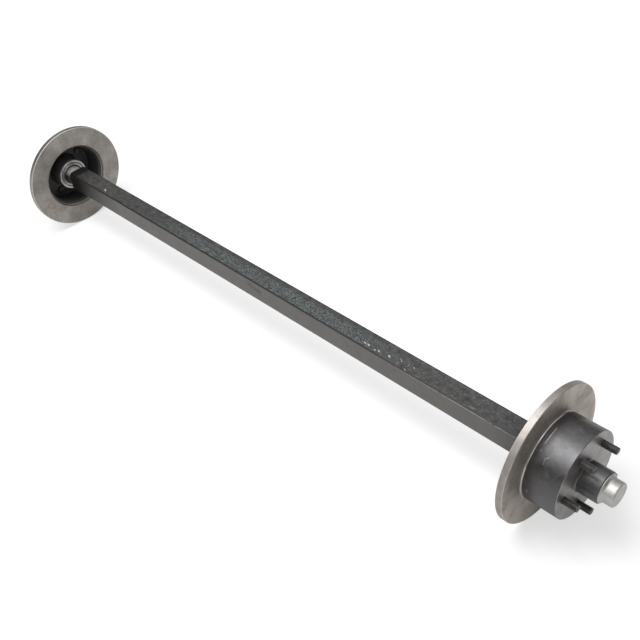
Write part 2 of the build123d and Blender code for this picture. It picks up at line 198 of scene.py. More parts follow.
def makeTurnedMarks():
    # fine rings left by a lathe, on faces and cylinders alike, and the wide sectors across them, a painted
    # sheen
    inputs = {"Rings": 900.0, "Sectors": 1.6}
    tree, given, out = newGroup("turnedMarks", inputs, ["Height", "Tone", "Sheen"])
    place = useGroup(tree, "axlePlace")
    reach, radius = place["Reach"], place["Radius"]
    rings = put(tree, "ShaderNodeCombineXYZ", {0: reach, 1: radius}).outputs[0]
    fine = noise(tree, rings, given["Rings"], detail=4.0, roughness=0.7)
    broadScale = times(tree, given["Rings"], effectValues["broadRings"])
    broad = noise(tree, rings, broadScale, detail=2.0, roughness=0.5)
    x, y, z = split(tree, objectPoint(tree))
    turned = put(tree, "ShaderNodeCombineXYZ", {
        0: calc(tree, "DIVIDE", y, radius),
        1: calc(tree, "DIVIDE", z, radius),
        2: times(tree, radius, effectValues["sectorDrift"])}).outputs[0]
    sectors = noise(tree, turned, given["Sectors"], detail=3.0, roughness=0.6)
    tree.links.new(fine, out["Height"])
    tree.links.new(mixValue(tree, 0.5, fine, broad), out["Tone"])
    tree.links.new(spread(tree, sectors, *effectValues["sectorLimits"]), out["Sheen"])
    return tree


def makeEdgeWear():
    # bright, broken wear where two faces meet
    inputs = {"Width": 0.0006, "Breaks": 300.0, "Amount": 0.5}
    tree, given, out = newGroup("edgeWear", inputs, ["Mask"])
    bevel = put(tree, "ShaderNodeBevel", {"Radius": given["Width"]}, samples=4).outputs[0]
    facing = put(tree, "ShaderNodeNewGeometry").outputs["Normal"]
    same = vectorCalc(tree, "DOT_PRODUCT", bevel, facing, "Value")
    edge = spread(tree, calc(tree, "SUBTRACT", 1.0, same), *effectValues["edgeTurn"])
    breaks = noise(tree, objectPoint(tree), given["Breaks"], detail=4.0, roughness=0.65)
    worn = times(tree, edge, spread(tree, breaks, *effectValues["edgeBreaks"]))
    tree.links.new(calc(tree, "MULTIPLY", worn, given["Amount"], clamp=True), out["Mask"])
    return tree


def makeGrain():
    # the fine rough skin of cast iron, thick paint or mill scale
    tree, given, out = newGroup("grain", {"Size": 900.0, "Patches": 40.0}, ["Height", "Patch"])
    point = objectPoint(tree)
    patches = noise(tree, point, given["Patches"], detail=4.0, roughness=0.6)
    tree.links.new(noise(tree, point, given["Size"], detail=4.0, roughness=0.6), out["Height"])
    tree.links.new(spread(tree, patches, *effectValues["patchLimits"]), out["Patch"])
    return tree


def makeSpecks():
    # small scattered spots, such as pits
    inputs = {"Spacing": 300.0, "Share": 0.1, "Size": 0.2}
    tree, given, out = newGroup("specks", inputs, ["Mask"])
    sockets = {"Vector": objectPoint(tree), "Scale": given["Spacing"]}
    cells = put(tree, "ShaderNodeTexVoronoi", sockets).outputs
    inside = calc(tree, "SUBTRACT", given["Size"], cells["Distance"])
    spot = spread(tree, inside, 0.0, effectValues["speckEdge"])
    chance = put(tree, "ShaderNodeSeparateColor", {0: cells["Color"]}).outputs[0]
    tree.links.new(times(tree, spot, below(tree, chance, given["Share"])), out["Mask"])
    return tree


def makeScratch():
    # one scratch or chip between two points, with ragged sides
    inputs = {"Start": (0.0, 0.0, 0.0), "End": (0.0, 0.0, 0.0), "Width": 0.0005, "Strength": 1.0}
    tree, given, out = newGroup("scratch", inputs, ["Mask"])
    point = objectPoint(tree)
    fromStart = vectorCalc(tree, "SUBTRACT", point, given["Start"])
    whole = vectorCalc(tree, "SUBTRACT", given["End"], given["Start"])
    along = calc(tree, "DIVIDE", vectorCalc(tree, "DOT_PRODUCT", fromStart, whole, "Value"),
                 vectorCalc(tree, "DOT_PRODUCT", whole, whole, "Value"), clamp=True)
    scaled = put(tree, "ShaderNodeVectorMath", {0: whole, "Scale": along}, operation="SCALE")
    away = vectorCalc(tree, "DISTANCE", fromStart, scaled.outputs[0], "Value")
    sides = noise(tree, point, effectValues["raggedScale"], detail=2.0)
    sides = spread(tree, sides, *effectValues["raggedLimits"], *effectValues["raggedWidths"])
    margin = calc(tree, "SUBTRACT", times(tree, given["Width"], sides), away)
    inside = calc(tree, "DIVIDE", margin, given["Width"])
    hard = calc(tree, "MULTIPLY", inside, effectValues["scratchHardness"], clamp=True)
    tree.links.new(times(tree, hard, given["Strength"]), out["Mask"])
    return tree


groupMakers = {
    "axlePlace": makeAxlePlace,
    "bandMask": makeBandMask,
    "turnedMarks": makeTurnedMarks,
    "edgeWear": makeEdgeWear,
    "grain": makeGrain,
    "specks": makeSpecks,
    "scratch": makeScratch,
}
for groupName, makeGroup in groupMakers.items():
    shared[groupName] = makeGroup()
print("shared effects:", ", ".join(shared))


# Helpers for finishes

def newMaterial(name):
    material = bpy.data.materials.new(name)
    material.use_nodes = True
    tree = material.node_tree
    tree.nodes.clear()
    shader = put(tree, "ShaderNodeBsdfPrincipled")
    put(tree, "ShaderNodeOutputMaterial", {"Surface": shader.outputs[0]})
    return material, tree, shader


def bump(tree, shader, height, strength, distance):
    made = put(tree, "ShaderNodeBump", {"Height": height, "Strength": strength, "Distance": distance})
    tree.links.new(made.outputs[0], shader.inputs["Normal"])


def fill(tree, shader, **sockets):
    names = {"color": "Base Color", "roughness": "Roughness", "metallic": "Metallic"}
    for short, value in sockets.items():
        if isinstance(value, bpy.types.NodeSocket):
            tree.links.new(value, shader.inputs[names[short]])
        else:
            shader.inputs[names[short]].default_value = value


def band(tree, value, low, high, soft=0.0003):
    return useGroup(tree, "bandMask", value=value, low=low, high=high, soft=soft)["Mask"]


def coatOver(tree, color, coats):
    # each coat is a mask and the colour that covers what is below it
    for mask, coat in coats:
        color = mixColor(tree, mask, color, coat)
    return color


def allScratches(tree, rows):
    # the strongest of several scratches at a point; a row is start, end, width and strength
    names = ("start", "end", "width", "strength")
    masks = [useGroup(tree, "scratch", **dict(zip(names, row)))["Mask"] for row in rows]
    return strongest(tree, *masks)


# The hubs' finish. A noise is given by its scale, detail and roughness, a bump by its strength and depth.

hubFinish = {
    "discLight": (0.465, 0.441, 0.406, 1),
    "discDark": (0.245, 0.227, 0.205, 1),
    "discOutboardLit": (0.590, 0.525, 0.455, 1),
    "discRim": (0.170, 0.156, 0.140, 1),
    "discStain": (0.270, 0.228, 0.204, 1),
    "discEdgeGlint": (0.780, 0.755, 0.715, 1),
    "faceLight": (0.395, 0.374, 0.352, 1),
    "faceDark": (0.205, 0.196, 0.185, 1),
    "shoulder": (0.43, 0.42, 0.405, 1),
    "lip": (0.50, 0.47, 0.42, 1),
    "mouth": (0.110, 0.104, 0.096, 1),
    "bore": (0.42, 0.41, 0.40, 1),
    "paint": (0.0050, 0.0045, 0.0042, 1),
    "paintWorn": (0.0430, 0.0382, 0.0345, 1),
    # the hat's inside: rougher paint, painted lighter as a painted fill light in its hollow
    "insidePaintAndFill": (0.038, 0.0355, 0.034, 1),
    # the boss's side inside the hat is painted lighter, a painted fill light where it sits in shade
    "bossFillLight": (0.120, 0.112, 0.106, 1),
    "bareEdge": (0.50, 0.495, 0.48, 1),
    "bareMetal": 0.62,
    "discRoughness": (0.43, 0.56),
    "rimRoughness": 0.41,
    "faceRoughness": 0.36,
    "shoulderRoughness": 0.15,
    "paintRoughness": (0.31, 0.45),
    "insideRoughness": 0.64,
    "paintShine": 1.0,
    "paintTint": (0.97, 0.965, 1.0, 1),
    "paintWaves": 2.5,
    "brushing": 0.5,
    "bump": (0.25, 0.00012),
    "turning": {"rings": 1400.0, "sectors": 1.9},
    "grain": {"size": 1100.0, "patches": 60.0},
    "blotches": {"size": 240.0, "patches": 150.0},
    "edgeWear": {"width": 0.0007, "breaks": 260.0, "amount": 0.6},
    "pits": {"spacing": 420.0, "share": 0.12, "size": 0.22},
    "pitShade": 0.4,
    "toneShares": (0.35, 0.45, 0.20),    # of the rings, the sectors and the blotches
    "toneLimits": (0.2, 0.8),
    "stainNoise": (34.0, 5.0, 0.70),
    "stainLimits": (0.46, 0.66, 0.0, 0.75),
    "faceStain": 0.7,
    "outboardLitShares": (0.50, 0.75),    # how much lighter the outboard face is painted, inside and outside, as painted light
    "rimShades": (0.05, 0.45),
    "rimEdgeGlint": 0.55,
    "outboardEdgeShare": 0.6,
    "wanderScale": 90.0,    # how the paint's ragged borders wander, and how far
    "wander": 0.0012,
    "marks": [   # light scratches on the near hub's hat: start, end, width and strength
        ((0.7105, -0.0103, 0.0783), (0.7109, -0.0190, 0.0767), 0.0007, 0.8),
        ((0.7109, -0.0190, 0.0767), (0.7109, -0.0271, 0.0742), 0.0008, 1.0),
        ((0.7109, -0.0271, 0.0742), (0.7105, -0.0340, 0.0713), 0.0008, 1.0),
        ((0.7105, -0.0340, 0.0713), (0.7101, -0.0407, 0.0677), 0.0007, 0.9),
        ((0.7108, -0.0482, 0.0626), (0.7106, -0.0512, 0.0602), 0.0006, 0.6),
        ((0.7280, -0.0511, 0.0603), (0.7225, -0.0553, 0.0564), 0.0006, 0.7),
        ((0.7225, -0.0553, 0.0564), (0.7241, -0.0612, 0.0500), 0.0006, 0.5),
        ((0.7113, -0.0787, -0.0060), (0.7116, -0.0786, -0.0075), 0.0010, 0.8),
        ((0.7341, 0.0105, 0.0783), (0.7455, 0.0075, 0.0786), 0.0022, 0.05),
    ],
    "zones": {   # each finish's stretch along the axle and its radii, one with a softer edge
        "disc": ((0.6860, 0.7003), (0.0798, 0.2)),
        "mouth": ((0.6872, 0.6925), (0.0760, 0.0818)),
        "wheelFace": ((0.7613, 0.7631), (0.0288, 0.0800, 0.0005)),
        "shoulder": ((0.7002, 0.7023), (0.0786, 0.0808)),
        "lip": ((0.6909, 0.6928), (0.0758, 0.0770)),
        "innerBore": ((0.7057, 0.7480), (0.0, 0.0345)),
        "inside": ((0.6930, 0.7508), (0.0345, 0.0768)),
        "boss": ((0.7060, 0.7480), (0.0375, 0.0400)),
    },
    "raggedZones": ("disc", "wheelFace"),
    "bareZones": ("disc", "wheelFace", "mouth", "bore", "shoulder", "lip"),
    "outerBore": (-1.0, 0.0245),    # every radius up to the bore's
    "outboardFace": (0.6988, 0.7003),
    "outboardRadii": (0.095, 0.120),
    "rim": (0.1262, 0.2),
    "rimEdges": (0.1256, 0.2),
    "inboardEdge": (0.6866, 0.6882),
    "outboardEdge": (0.6984, 0.6996),
}


def makeHubIron():
    # one casting: bare turned disc, wheel face and bearing bores, satin black hat, barrel and inside
    material, tree, shader = newMaterial("hubIron")
    place = useGroup(tree, "axlePlace")
    reach, radius = place["Reach"], place["Radius"]
    point = objectPoint(tree)
    wander = calc(tree, "SUBTRACT", noise(tree, point, hubFinish["wanderScale"]), 0.5)
    ragged = total(tree, radius, times(tree, wander, hubFinish["wander"]))
    zones = {}
    for name, (along, across) in hubFinish["zones"].items():
        border = ragged if name in hubFinish["raggedZones"] else radius
        zones[name] = times(tree, band(tree, reach, *along), band(tree, border, *across))
    zones["bore"] = strongest(tree, zones["innerBore"], band(tree, radius, *hubFinish["outerBore"]))

    turning = useGroup(tree, "turnedMarks", **hubFinish["turning"])
    grain = useGroup(tree, "grain", **hubFinish["grain"])
    blotches = useGroup(tree, "grain", **hubFinish["blotches"])["Patch"]
    wear = useGroup(tree, "edgeWear", **hubFinish["edgeWear"])["Mask"]
    pits = useGroup(tree, "specks", **hubFinish["pits"])["Mask"]
    worn = strongest(tree, wear, allScratches(tree, hubFinish["marks"]))
    stain = spread(tree, noise(tree, point, *hubFinish["stainNoise"]), *hubFinish["stainLimits"])
    # the tone mixes the rings and blotches with the sectors' painted sheen
    toneParts = zip((turning["Tone"], turning["Sheen"], blotches), hubFinish["toneShares"])
    tone = total(tree, *[times(tree, part, share) for part, share in toneParts])
    tone = spread(tree, tone, *hubFinish["toneLimits"])

    # the outboard face is warmer, and painted lighter towards the rim as painted light, so it is darker
    # near the hat; the rim is darker between two edges that carry a painted highlight
    outboard = times(tree, band(tree, reach, *hubFinish["outboardFace"]),
                     spread(tree, radius, *hubFinish["outboardRadii"], *hubFinish["outboardLitShares"]))
    rim = band(tree, radius, *hubFinish["rim"])
    rimShade = times(tree, rim, mixValue(tree, blotches, *hubFinish["rimShades"]))
    # painted highlight: the rim's two chamfered edges are painted bright
    outboardEdge = band(tree, reach, *hubFinish["outboardEdge"])
    edgeGlints = strongest(tree, band(tree, reach, *hubFinish["inboardEdge"]),
                      times(tree, outboardEdge, hubFinish["outboardEdgeShare"]))
    edgeGlints = times(tree, edgeGlints, band(tree, radius, *hubFinish["rimEdges"]), hubFinish["rimEdgeGlint"])
    disc = coatOver(tree, mixColor(tree, tone, hubFinish["discDark"], hubFinish["discLight"]), (
        (outboard, hubFinish["discOutboardLit"]),
        (stain, hubFinish["discStain"]),
        (times(tree, pits, hubFinish["pitShade"]), hubFinish["discDark"]),
        (rimShade, hubFinish["discRim"]),
        (edgeGlints, hubFinish["discEdgeGlint"])))
    wheelFace = mixColor(tree, tone, hubFinish["faceDark"], hubFinish["faceLight"])
    faceStain = times(tree, stain, hubFinish["faceStain"])
    wheelFace = mixColor(tree, faceStain, wheelFace, hubFinish["faceDark"])
    cloudy = mixValue(tree, 0.5, grain["Patch"], blotches)
    paint = mixColor(tree, cloudy, hubFinish["paint"], hubFinish["paintWorn"])
    color = coatOver(tree, paint, (
        (worn, hubFinish["bareEdge"]),
        (zones["inside"], hubFinish["insidePaintAndFill"]),
        # painted fill light on the boss's side
        (zones["boss"], hubFinish["bossFillLight"]),
        (zones["mouth"], hubFinish["mouth"]),
        (zones["lip"], hubFinish["lip"]),
        (zones["shoulder"], hubFinish["shoulder"]),
        (zones["disc"], disc),
        (zones["wheelFace"], wheelFace),
        (zones["bore"], hubFinish["bore"])))

    bare = strongest(tree, *[zones[name] for name in hubFinish["bareZones"]])
    satin = mixValue(tree, cloudy, *hubFinish["paintRoughness"])
    satin = mixValue(tree, zones["inside"], satin, hubFinish["insideRoughness"])
    turned = mixValue(tree, turning["Tone"], *hubFinish["discRoughness"])
    turned = mixValue(tree, rim, turned, hubFinish["rimRoughness"])
    turned = mixValue(tree, zones["wheelFace"], turned, hubFinish["faceRoughness"])
    turned = mixValue(tree, zones["shoulder"], turned, hubFinish["shoulderRoughness"])
    fill(tree, shader, color=color, roughness=mixValue(tree, bare, satin, turned),
         metallic=times(tree, strongest(tree, bare, worn), hubFinish["bareMetal"]))
    shader.inputs["Specular IOR Level"].default_value = hubFinish["paintShine"]
    shader.inputs["Specular Tint"].default_value = hubFinish["paintTint"]
    shader.inputs["Anisotropic"].default_value = hubFinish["brushing"]
    tangent = put(tree, "ShaderNodeTangent", direction_type="RADIAL", axis="X").outputs[0]
    tree.links.new(tangent, shader.inputs["Tangent"])
    # the sprayed paint is slightly wavy
    skin = total(tree, grain["Height"], times(tree, blotches, hubFinish["paintWaves"]))
    bump(tree, shader, mixValue(tree, bare, skin, turning["Height"]), *hubFinish["bump"])
    return material


# The bar's finish

beamFinish = {
    "paintDark": (0.012, 0.012, 0.012, 1),
    "paintLight": (0.092, 0.091, 0.089, 1),
    "fleck": (0.190, 0.188, 0.184, 1),
    "corner": (0.004, 0.004, 0.004, 1),
    "paintedEndShade": (0.004, 0.004, 0.004, 1),
    "dustBase": (0.010, 0.011, 0.011, 1),
    "dust": (0.235, 0.268, 0.268, 1),
    "sideScale": (0.166, 0.156, 0.145, 1),
    "smudge": (0.050, 0.048, 0.046, 1),
    "bare": (0.40, 0.395, 0.38, 1),
    "chip": (0.85, 0.85, 0.83, 1),
    "journal": (0.88, 0.87, 0.85, 1),
    "journalLower": (0.130, 0.112, 0.098, 1),
    "roughness": (0.56, 0.40),
    "journalRoughness": 0.56,
    "shine": 0.5,
    "bump": (0.5, 0.0004),
    "dustHeight": 1.5,
    "threadHeight": 5.0,
    "grain": {"size": 420.0, "patches": 26.0},
    "edgeWear": {"width": 0.0012, "breaks": 120.0, "amount": 0.3},
    "streaks": (0.75, 1.0, 1.0),    # the mottling is drawn out a little along the bar
    "mottleNoise": (90.0, 6.0, 0.78),
    "mottleLimits": (0.36, 0.64),
    "fleckNoise": (260.0, 5.0, 0.7),
    "fleckLimits": (0.54, 0.70),
    "clumpNoise": (70.0, 4.0, 0.65),
    "clumpLimits": (0.30, 0.50),
    "dotNoise": (430.0, 3.0, 0.8),
    "dotLimits": (0.45, 0.60),
    "brightLineNoise": (160.0, 3.0),
    "brightLineLimits": (0.28, 0.46),
    "scaleShares": (0.85, 1.0),
    "topFace": 0.0222,
    "faces": 0.0215,    # past this, a point is on one of the bar's faces
    "spindles": 0.6794,
    "flecks": (0.24, 0.36),
    "dustAlong": (-0.27, 0.35, 0.16),    # from, to, and how soft the ends are
    "dustAcross": (-0.0200, 0.0090, 0.006),
    "smudgePlace": {"start": (0.002, -0.0222, 0.010), "end": (0.034, -0.0222, 0.004), "width": 0.0070,
                    "strength": 0.75},
    "frontCorner": (-0.0186, 0.0207),
    "rearCorner": (0.0186, 0.0196),
    "brightLineFront": -0.0208,
    "brightLineHeights": (0.0192, 0.0205),
    "brightLineAlong": (0.36, 0.52),
    "farShade": (-0.640, -0.460, 1.0, 0.0),
    "hubShade": (0.600, 0.642, 0.0, 0.33),
    "darkEnds": (0.642, 0.654),
    "journalLowShare": (0.0140, 0.0060),
    "threadStart": 0.7836,
    "threadPitch": 0.0015875,    # 16 threads to the inch
    "chips": [   # on the top face: start, end, width and strength
        ((-0.5370, -0.0088), (-0.5348, -0.0104), 0.0022, 1.0),
        ((0.3110, -0.0098), (0.3148, -0.0112), 0.0013, 0.8),
        ((0.3210, -0.0104), (0.3245, -0.0118), 0.0015, 0.9),
        ((0.3385, -0.0126), (0.3416, -0.0138), 0.0015, 0.9),
        ((0.3468, -0.0110), (0.3495, -0.0120), 0.0015, 0.85),
        ((0.3700, -0.0092), (0.3732, -0.0106), 0.0016, 0.9),
        ((0.3900, -0.0008), (0.3970, -0.0055), 0.0010, 0.5),
        ((0.3938, -0.0114), (0.3947, -0.0191), 0.0008, 0.3),
        ((0.4107, 0.0003), (0.4131, -0.0091), 0.0007, 0.25),
        ((0.4125, -0.0168), (0.4165, -0.0182), 0.0010, 0.45),
        ((0.4240, -0.0040), (0.4258, -0.0052), 0.0011, 0.7),
        ((0.4523, 0.0101), (0.4658, 0.0151), 0.0010, 0.12),
        ((0.5503, -0.0162), (0.5631, -0.0142), 0.0010, 0.18),
    ],
}


def makeBeamPaint():
    # black paint over mill scale on the bar, bare turned spindles past its ends
    material, tree, shader = newMaterial("beamPaint")
    reach = useGroup(tree, "axlePlace")["Reach"]
    point = objectPoint(tree)
    x, y, z = split(tree, point)
    grain = useGroup(tree, "grain", **beamFinish["grain"])
    wear = useGroup(tree, "edgeWear", **beamFinish["edgeWear"])["Mask"]
    topFace = beamFinish["topFace"]
    chipRows = [((*start, topFace), (*end, topFace), *rest) for start, end, *rest in beamFinish["chips"]]
    chips = allScratches(tree, chipRows)

    top = above(tree, z, beamFinish["faces"])
    front = below(tree, y, -beamFinish["faces"])
    rear = above(tree, y, beamFinish["faces"])
    sides = strongest(tree, front, rear, below(tree, z, -beamFinish["faces"]))
    sockets = {"Vector": point, "Scale": beamFinish["streaks"]}
    streaks = put(tree, "ShaderNodeMapping", sockets).outputs[0]
    mottle = spread(tree, noise(tree, streaks, *beamFinish["mottleNoise"]), *beamFinish["mottleLimits"])
    # fine light flecks lie on the top face towards the near hub
    flecks = spread(tree, noise(tree, streaks, *beamFinish["fleckNoise"]), *beamFinish["fleckLimits"])
    flecks = times(tree, top, spread(tree, x, *beamFinish["flecks"]), flecks)
    # granular dust lies along the middle of the top face, clear of its rear third
    clumps = spread(tree, noise(tree, point, *beamFinish["clumpNoise"]), *beamFinish["clumpLimits"])
    dusty = times(tree, top, band(tree, x, *beamFinish["dustAlong"]),
                  band(tree, y, *beamFinish["dustAcross"]), clumps)
    dots = spread(tree, noise(tree, point, *beamFinish["dotNoise"]), *beamFinish["dotLimits"])
    dust = mixColor(tree, dots, beamFinish["dustBase"], beamFinish["dust"])
    scale = times(tree, sides, mixValue(tree, grain["Patch"], *beamFinish["scaleShares"]))
    smudge = useGroup(tree, "scratch", **beamFinish["smudgePlace"])["Mask"]
    # both top corners are painted darker as a painted dark reflection, and below the front one a thin line
    # is drawn bright near the near hub
    frontLimit, frontHeight = beamFinish["frontCorner"]
    rearLimit, rearHeight = beamFinish["rearCorner"]
    corners = strongest(tree, times(tree, below(tree, y, frontLimit), above(tree, z, frontHeight)),
                        times(tree, above(tree, y, rearLimit), above(tree, z, rearHeight)))
    # a thin bright line under the front corner, from the middle of the bar towards the near hub
    brightLine = spread(tree, noise(tree, streaks, *beamFinish["brightLineNoise"]), *beamFinish["brightLineLimits"])
    brightLine = times(tree, below(tree, y, beamFinish["brightLineFront"]),
                   band(tree, z, *beamFinish["brightLineHeights"]),
                   spread(tree, x, *beamFinish["brightLineAlong"]), brightLine)
    # both ends are painted darker as painted shade where the hubs shade them, and so is the front face
    # towards the far one
    shaded = strongest(tree, times(tree, front, spread(tree, x, *beamFinish["farShade"])),
                       spread(tree, reach, *beamFinish["darkEnds"]),
                       spread(tree, reach, *beamFinish["hubShade"]))
    spindle = above(tree, reach, beamFinish["spindles"])
    # the journals are darker and browner towards the bottom
    journalLowShare = spread(tree, z, *beamFinish["journalLowShare"])
    journal = mixColor(tree, journalLowShare, beamFinish["journal"], beamFinish["journalLower"])

    paint = mixColor(tree, mottle, beamFinish["paintDark"], beamFinish["paintLight"])
    color = coatOver(tree, paint, (
        (flecks, beamFinish["fleck"]),
        (dusty, dust),
        (scale, beamFinish["sideScale"]),
        (smudge, beamFinish["smudge"]),
        (corners, beamFinish["corner"]),
        (strongest(tree, wear, brightLine), beamFinish["bare"]),
        (shaded, beamFinish["paintedEndShade"]),
        (chips, beamFinish["chip"]),
        (spindle, journal)))
    roughness = mixValue(tree, mottle, *beamFinish["roughness"])
    fill(tree, shader, color=color, metallic=strongest(tree, spindle, wear),
         roughness=mixValue(tree, spindle, roughness, beamFinish["journalRoughness"]))
    shader.inputs["Specular IOR Level"].default_value = beamFinish["shine"]

    # the thread under each castle nut winds round the spindle's end
    wound = calc(tree, "DIVIDE", calc(tree, "ARCTAN2", z, y), 2 * math.pi)
    turns = calc(tree, "SUBTRACT", calc(tree, "DIVIDE", x, beamFinish["threadPitch"]), wound)
    ridges = times(tree, calc(tree, "PINGPONG", turns, 0.5),
                   above(tree, reach, beamFinish["threadStart"]), beamFinish["threadHeight"])
    skin = total(tree, grain["Height"], times(tree, dots, dusty, beamFinish["dustHeight"]), ridges)
    bump(tree, shader, skin, *beamFinish["bump"])
    return material


# The caps' finish

capFinish = {
    "dark": (0.405, 0.398, 0.382, 1),
    "light": (0.500, 0.493, 0.479, 1),
    "metal": 0.9,
    "roughness": (0.58, 0.49),
    "grain": {"size": 900.0, "patches": 85.0},
    "grainHeight": 0.04,
    "waveNoise": (75.0, 2.0, 0.4),
    "bump": (0.6, 0.0014),
}


def makeCapZinc():
    # dull zinc on a pressed cap, whose wall is slightly wavy
    material, tree, shader = newMaterial("capZinc")
    grain = useGroup(tree, "grain", **capFinish["grain"])
    waves = noise(tree, objectPoint(tree), *capFinish["waveNoise"])
    skin = total(tree, waves, times(tree, grain["Height"], capFinish["grainHeight"]))
    fill(tree, shader, color=mixColor(tree, grain["Patch"], capFinish["dark"], capFinish["light"]),
         metallic=capFinish["metal"], roughness=mixValue(tree, grain["Patch"], *capFinish["roughness"]))
    bump(tree, shader, skin, *capFinish["bump"])
    return material


# The studs' finish

studFinish = {
    "dark": (0.070, 0.069, 0.065, 1),
    "light": (0.130, 0.128, 0.121, 1),
    "worn": (0.245, 0.242, 0.232, 1),
    "headPaint": (0.026, 0.0245, 0.0235, 1),
    "headEnd": 0.7505,
    "metal": 0.5,
    "roughness": (0.42, 0.52),
    "grain": {"size": 1200.0, "patches": 200.0},
    "edgeWear": {"width": 0.0003, "breaks": 1200.0, "amount": 0.4},
    "bump": (0.2, 0.00006),
}


def makeStudSteel():
    # blackened steel, with the heads under the hat's inside paint
    material, tree, shader = newMaterial("studBlack")
    head = below(tree, useGroup(tree, "axlePlace")["Reach"], studFinish["headEnd"])
    grain = useGroup(tree, "grain", **studFinish["grain"])
    wear = useGroup(tree, "edgeWear", **studFinish["edgeWear"])["Mask"]
    steel = mixColor(tree, grain["Patch"], studFinish["dark"], studFinish["light"])
    color = coatOver(tree, steel, ((wear, studFinish["worn"]), (head, studFinish["headPaint"])))
    fill(tree, shader, color=color, metallic=mixValue(tree, head, studFinish["metal"], 0.0),
         roughness=mixValue(tree, grain["Patch"], *studFinish["roughness"]))
    bump(tree, shader, grain["Height"], *studFinish["bump"])
    return material


# The seal cases' finish

sealFinish = {
    "rimDark": (0.36, 0.355, 0.345, 1),
    "rimLight": (0.56, 0.555, 0.54, 1),
    "webDark": (0.270, 0.259, 0.246, 1),
    "webLight": (0.390, 0.375, 0.358, 1),
    "grooveShade": (0.225, 0.214, 0.200, 1),
    "rimStart": (0.0305, 0.0340),
    "grooveShadeRadii": (0.0294, 0.0316, 0.0009),
    "metal": 0.95,
    "roughness": (0.36, 0.29),
    "grain": {"size": 500.0, "patches": 85.0},
    "bump": (0.2, 0.00006),
}


def makeSealMetal():
    # bright rolled rim, a groove painted darker as painted shade, and a duller web inside it
    material, tree, shader = newMaterial("sealBright")
    radius = useGroup(tree, "axlePlace")["Radius"]
    grain = useGroup(tree, "grain", **sealFinish["grain"])
    rim = mixColor(tree, grain["Patch"], sealFinish["rimDark"], sealFinish["rimLight"])
    web = mixColor(tree, grain["Patch"], sealFinish["webDark"], sealFinish["webLight"])
    color = coatOver(tree, web, (
        (spread(tree, radius, *sealFinish["rimStart"]), rim),
        (band(tree, radius, *sealFinish["grooveShadeRadii"]), sealFinish["grooveShade"])))
    fill(tree, shader, color=color, metallic=sealFinish["metal"],
         roughness=mixValue(tree, grain["Patch"], *sealFinish["roughness"]))
    bump(tree, shader, grain["Height"], *sealFinish["bump"])
    return material


# The seal lips' finish

rubberFinish = {
    "dark": (0.018, 0.018, 0.018, 1),
    "light": (0.03, 0.03, 0.029, 1),
    "roughness": (0.5, 0.65),
    "grain": {"size": 1500.0, "patches": 300.0},
    "bump": (0.2, 0.00005),
}


def makeRubber():
    # black moulded rubber
    material, tree, shader = newMaterial("sealRubber")
    grain = useGroup(tree, "grain", **rubberFinish["grain"])
    fill(tree, shader, color=mixColor(tree, grain["Patch"], rubberFinish["dark"], rubberFinish["light"]),
         metallic=0.0, roughness=mixValue(tree, grain["Patch"], *rubberFinish["roughness"]))
    bump(tree, shader, grain["Height"], *rubberFinish["bump"])
    return material


# The finishes of the bearings, springs, washers, nuts and pins

metalFinishes = {
    "bearing_steel": {
        "name": "bearingSteel",
        "dark": (0.44, 0.44, 0.44, 1),
        "light": (0.54, 0.54, 0.54, 1),
        "worn": (0.86, 0.86, 0.86, 1),
        "roughness": (0.12, 0.22),
        "grain": {"size": 1500.0, "patches": 250.0},
        "edgeWear": {"width": 0.0003, "breaks": 1500.0, "amount": 0.1},
    },
    "cage_steel": {
        "name": "cageSteel",
        "dark": (0.28, 0.28, 0.27, 1),
        "light": (0.38, 0.38, 0.37, 1),
        "worn": (0.62, 0.62, 0.605, 1),
        "roughness": (0.30, 0.40),
        "grain": {"size": 1200.0, "patches": 200.0},
        "edgeWear": {"width": 0.0003, "breaks": 1200.0, "amount": 0.3},
    },
    "spring_steel": {
        "name": "springSteel",
        "dark": (0.34, 0.34, 0.34, 1),
        "light": (0.46, 0.46, 0.45, 1),
        "worn": (0.74, 0.74, 0.725, 1),
        "roughness": (0.24, 0.34),
        "grain": {"size": 2000.0, "patches": 1000.0 / 3},
        "edgeWear": {"width": 0.0003, "breaks": 2000.0, "amount": 0.1},
    },
    "fastener_steel": {
        "name": "fastenerZinc",
        "dark": (0.36, 0.345, 0.30, 1),
        "light": (0.48, 0.465, 0.42, 1),
        "worn": (0.77, 0.7475, 0.68, 1),
        "roughness": (0.26, 0.36),
        "grain": {"size": 900.0, "patches": 150.0},
        "edgeWear": {"width": 0.0003, "breaks": 900.0, "amount": 0.25},
    },
}
metalBump = (0.2, 0.00006)


def makeMetal(finish):
    # plain bright metal with mottling, fine grain and worn edges
    material, tree, shader = newMaterial(finish["name"])
    grain = useGroup(tree, "grain", **finish["grain"])
    wear = useGroup(tree, "edgeWear", **finish["edgeWear"])["Mask"]
    color = mixColor(tree, grain["Patch"], finish["dark"], finish["light"])
    fill(tree, shader, color=mixColor(tree, wear, color, finish["worn"]), metallic=1.0,
         roughness=mixValue(tree, grain["Patch"], *finish["roughness"]))
    bump(tree, shader, grain["Height"], *metalBump)
    return material


materials = {
    "hub_iron": makeHubIron(),
    "beam_paint": makeBeamPaint(),
    "stud_steel": makeStudSteel(),
    "cap_zinc": makeCapZinc(),
    "seal_metal": makeSealMetal(),
    "seal_rubber": makeRubber(),
}
for slot, finish in metalFinishes.items():
    materials[slot] = makeMetal(finish)
slotOf = {row["node"]: row["material_slot"] for row in frame["record"]["subparts"]}
for nodeName, node in nodes.items():
    node.data.materials.clear()
    node.data.materials.append(materials[slotOf[nodeName]])
print("materials on", len(nodes), "nodes")


# Small helpers for modelling

def deselect():
    bpy.ops.object.select_all(action="DESELECT")


